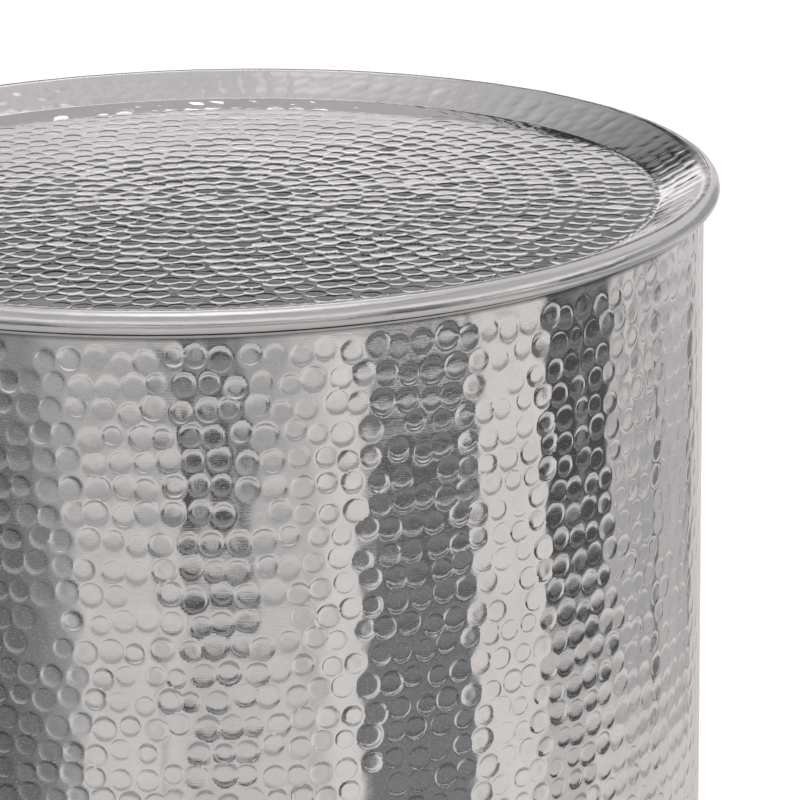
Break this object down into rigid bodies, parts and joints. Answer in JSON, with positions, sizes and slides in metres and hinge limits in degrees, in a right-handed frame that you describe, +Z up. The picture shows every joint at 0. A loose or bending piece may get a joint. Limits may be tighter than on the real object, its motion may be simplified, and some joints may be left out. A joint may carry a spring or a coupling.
{
  "type": "drum side table",
  "caption": "Round drum side table in hammered aluminium sheet; a tray with a flared lip and rolled rim lifts off a hollow storage drum on rubber feet.",
  "frame": {"origin": "on the drum's axis at floor level, under the middle of the four feet", "axes": "+Z up along the drum's axis and the way the tray lifts off, -Y to the front, so the sheet's upright joint is at +Y"},
  "size_m": [0.4572, 0.457, 0.4996],
  "materials": {
    "tray_sheet": "polished, hammered in rings",
    "drum_sheet": "polished, hammered in rows",
    "plain_sheet": "mill",
    "edge_wire": "drawn",
    "foot_rubber": "matt",
    "fastener_steel": "zinc plated"
  },
  "bodies": {
    "drum": {"drum_shell": "drum_sheet", "mouth_wire": "edge_wire", "base_wire": "edge_wire", "base_pan": "plain_sheet", "seam_strip": "plain_sheet", "foot_pad_1": "foot_rubber", "foot_pad_2": "foot_rubber", "foot_pad_3": "foot_rubber", "foot_pad_4": "foot_rubber", "foot_screws": "fastener_steel", "foot_washers": "fastener_steel", "foot_nuts": "fastener_steel"},
    "tray": {"tray_pan": "tray_sheet", "tray_rim_rod": "edge_wire", "tray_locating_band": "plain_sheet"}
  },
  "joints": [
    {"name": "tray_lift", "type": "slide", "parent": "drum", "child": "tray", "axis": [0, 0, 1], "range_m": [0, 0.15]}
  ]
}
